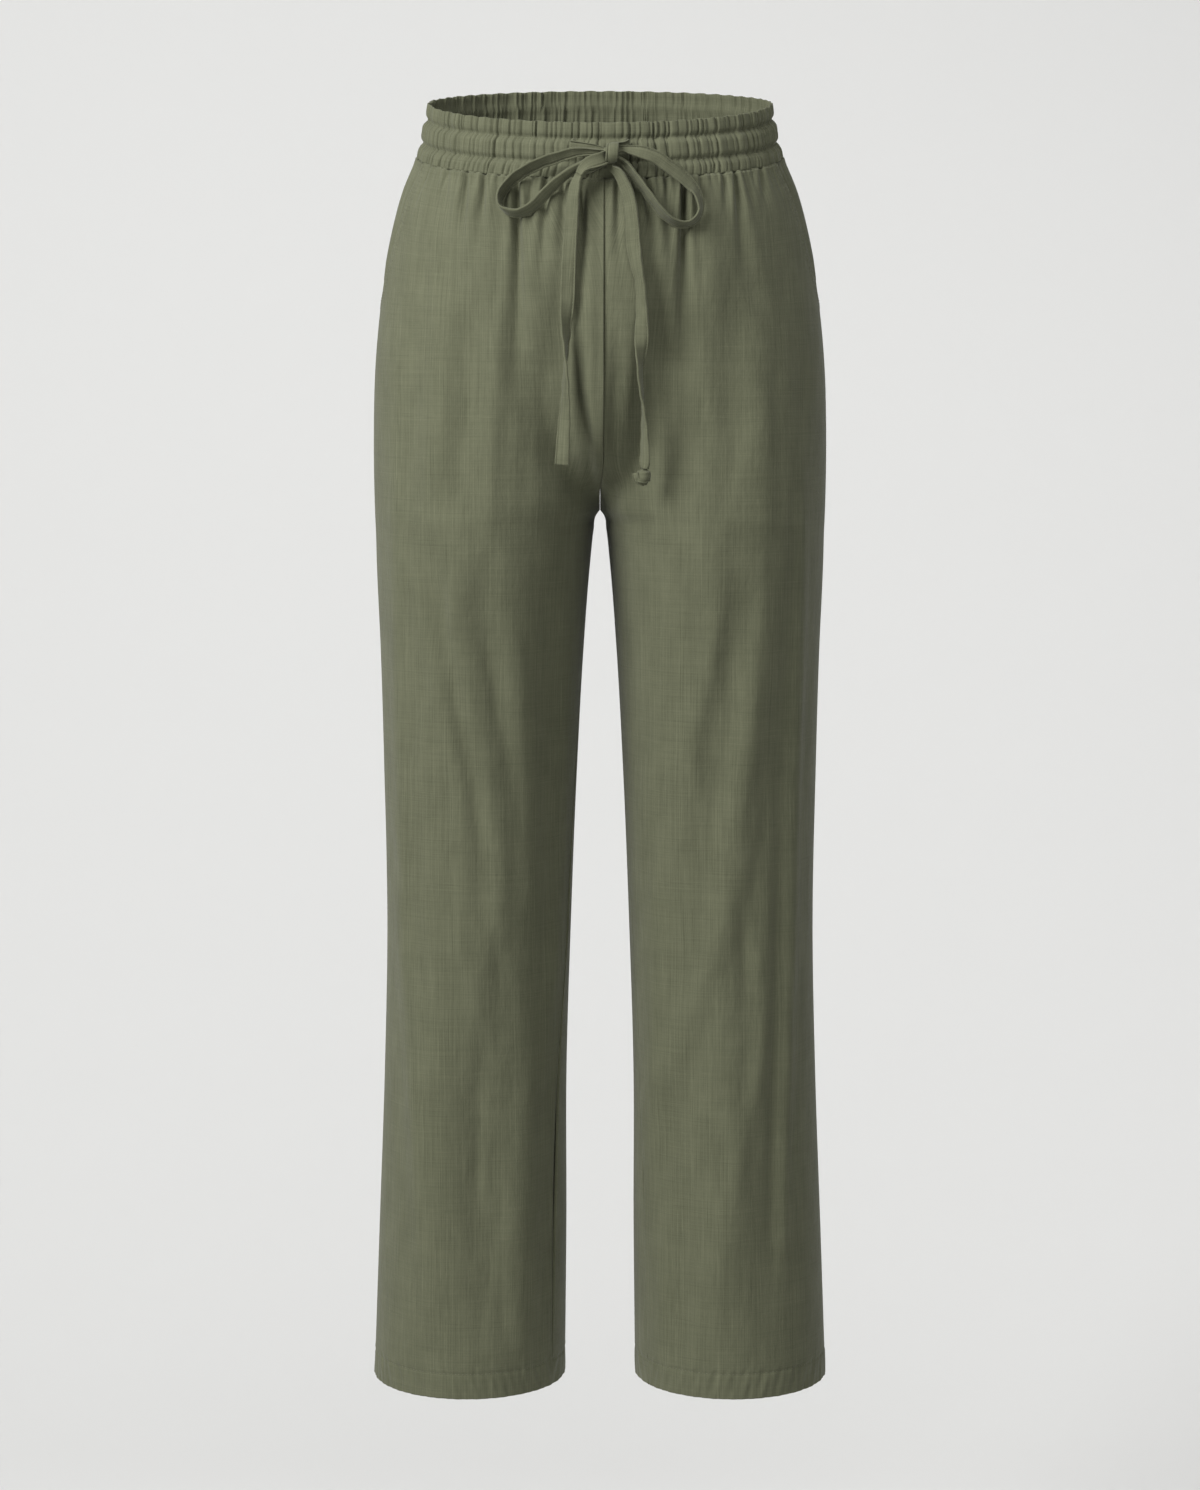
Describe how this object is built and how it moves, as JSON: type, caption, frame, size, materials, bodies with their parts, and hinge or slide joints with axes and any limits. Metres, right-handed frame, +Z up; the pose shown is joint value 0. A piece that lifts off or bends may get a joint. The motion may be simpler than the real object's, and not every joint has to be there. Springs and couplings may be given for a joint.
{
  "type": "linen drawstring trousers",
  "caption": "Straight-leg linen trousers, filled out as if worn, with a gathered drawstring waistband, a tied bow and slanted front pockets.",
  "frame": {"origin": "centre of the waist, level with the drawstring's casing at the side seams", "axes": "+Z up along the legs towards the waist opening, +X to the wearer's left, the wearer faces -Y"},
  "size_m": [0.368, 0.2574, 1.0356],
  "materials": {
    "linen": "matte olive-green linen, plain weave with slubs",
    "linen_tape": "matte olive-green linen, folded and stitched flat"
  },
  "bodies": {
    "root": {"front_right": "linen", "front_left": "linen", "back_right": "linen", "back_left": "linen", "waistband": "linen", "pocket_facing_right": "linen", "pocket_facing_left": "linen", "drawstring_lead_right": "linen_tape", "drawstring_lead_left": "linen_tape", "drawstring_knot": "linen_tape", "drawstring_loop_right": "linen_tape", "drawstring_loop_left": "linen_tape", "drawstring_tail_right": "linen_tape", "drawstring_tail_left": "linen_tape", "drawstring_end_knot": "linen_tape"}
  },
  "joints": []
}
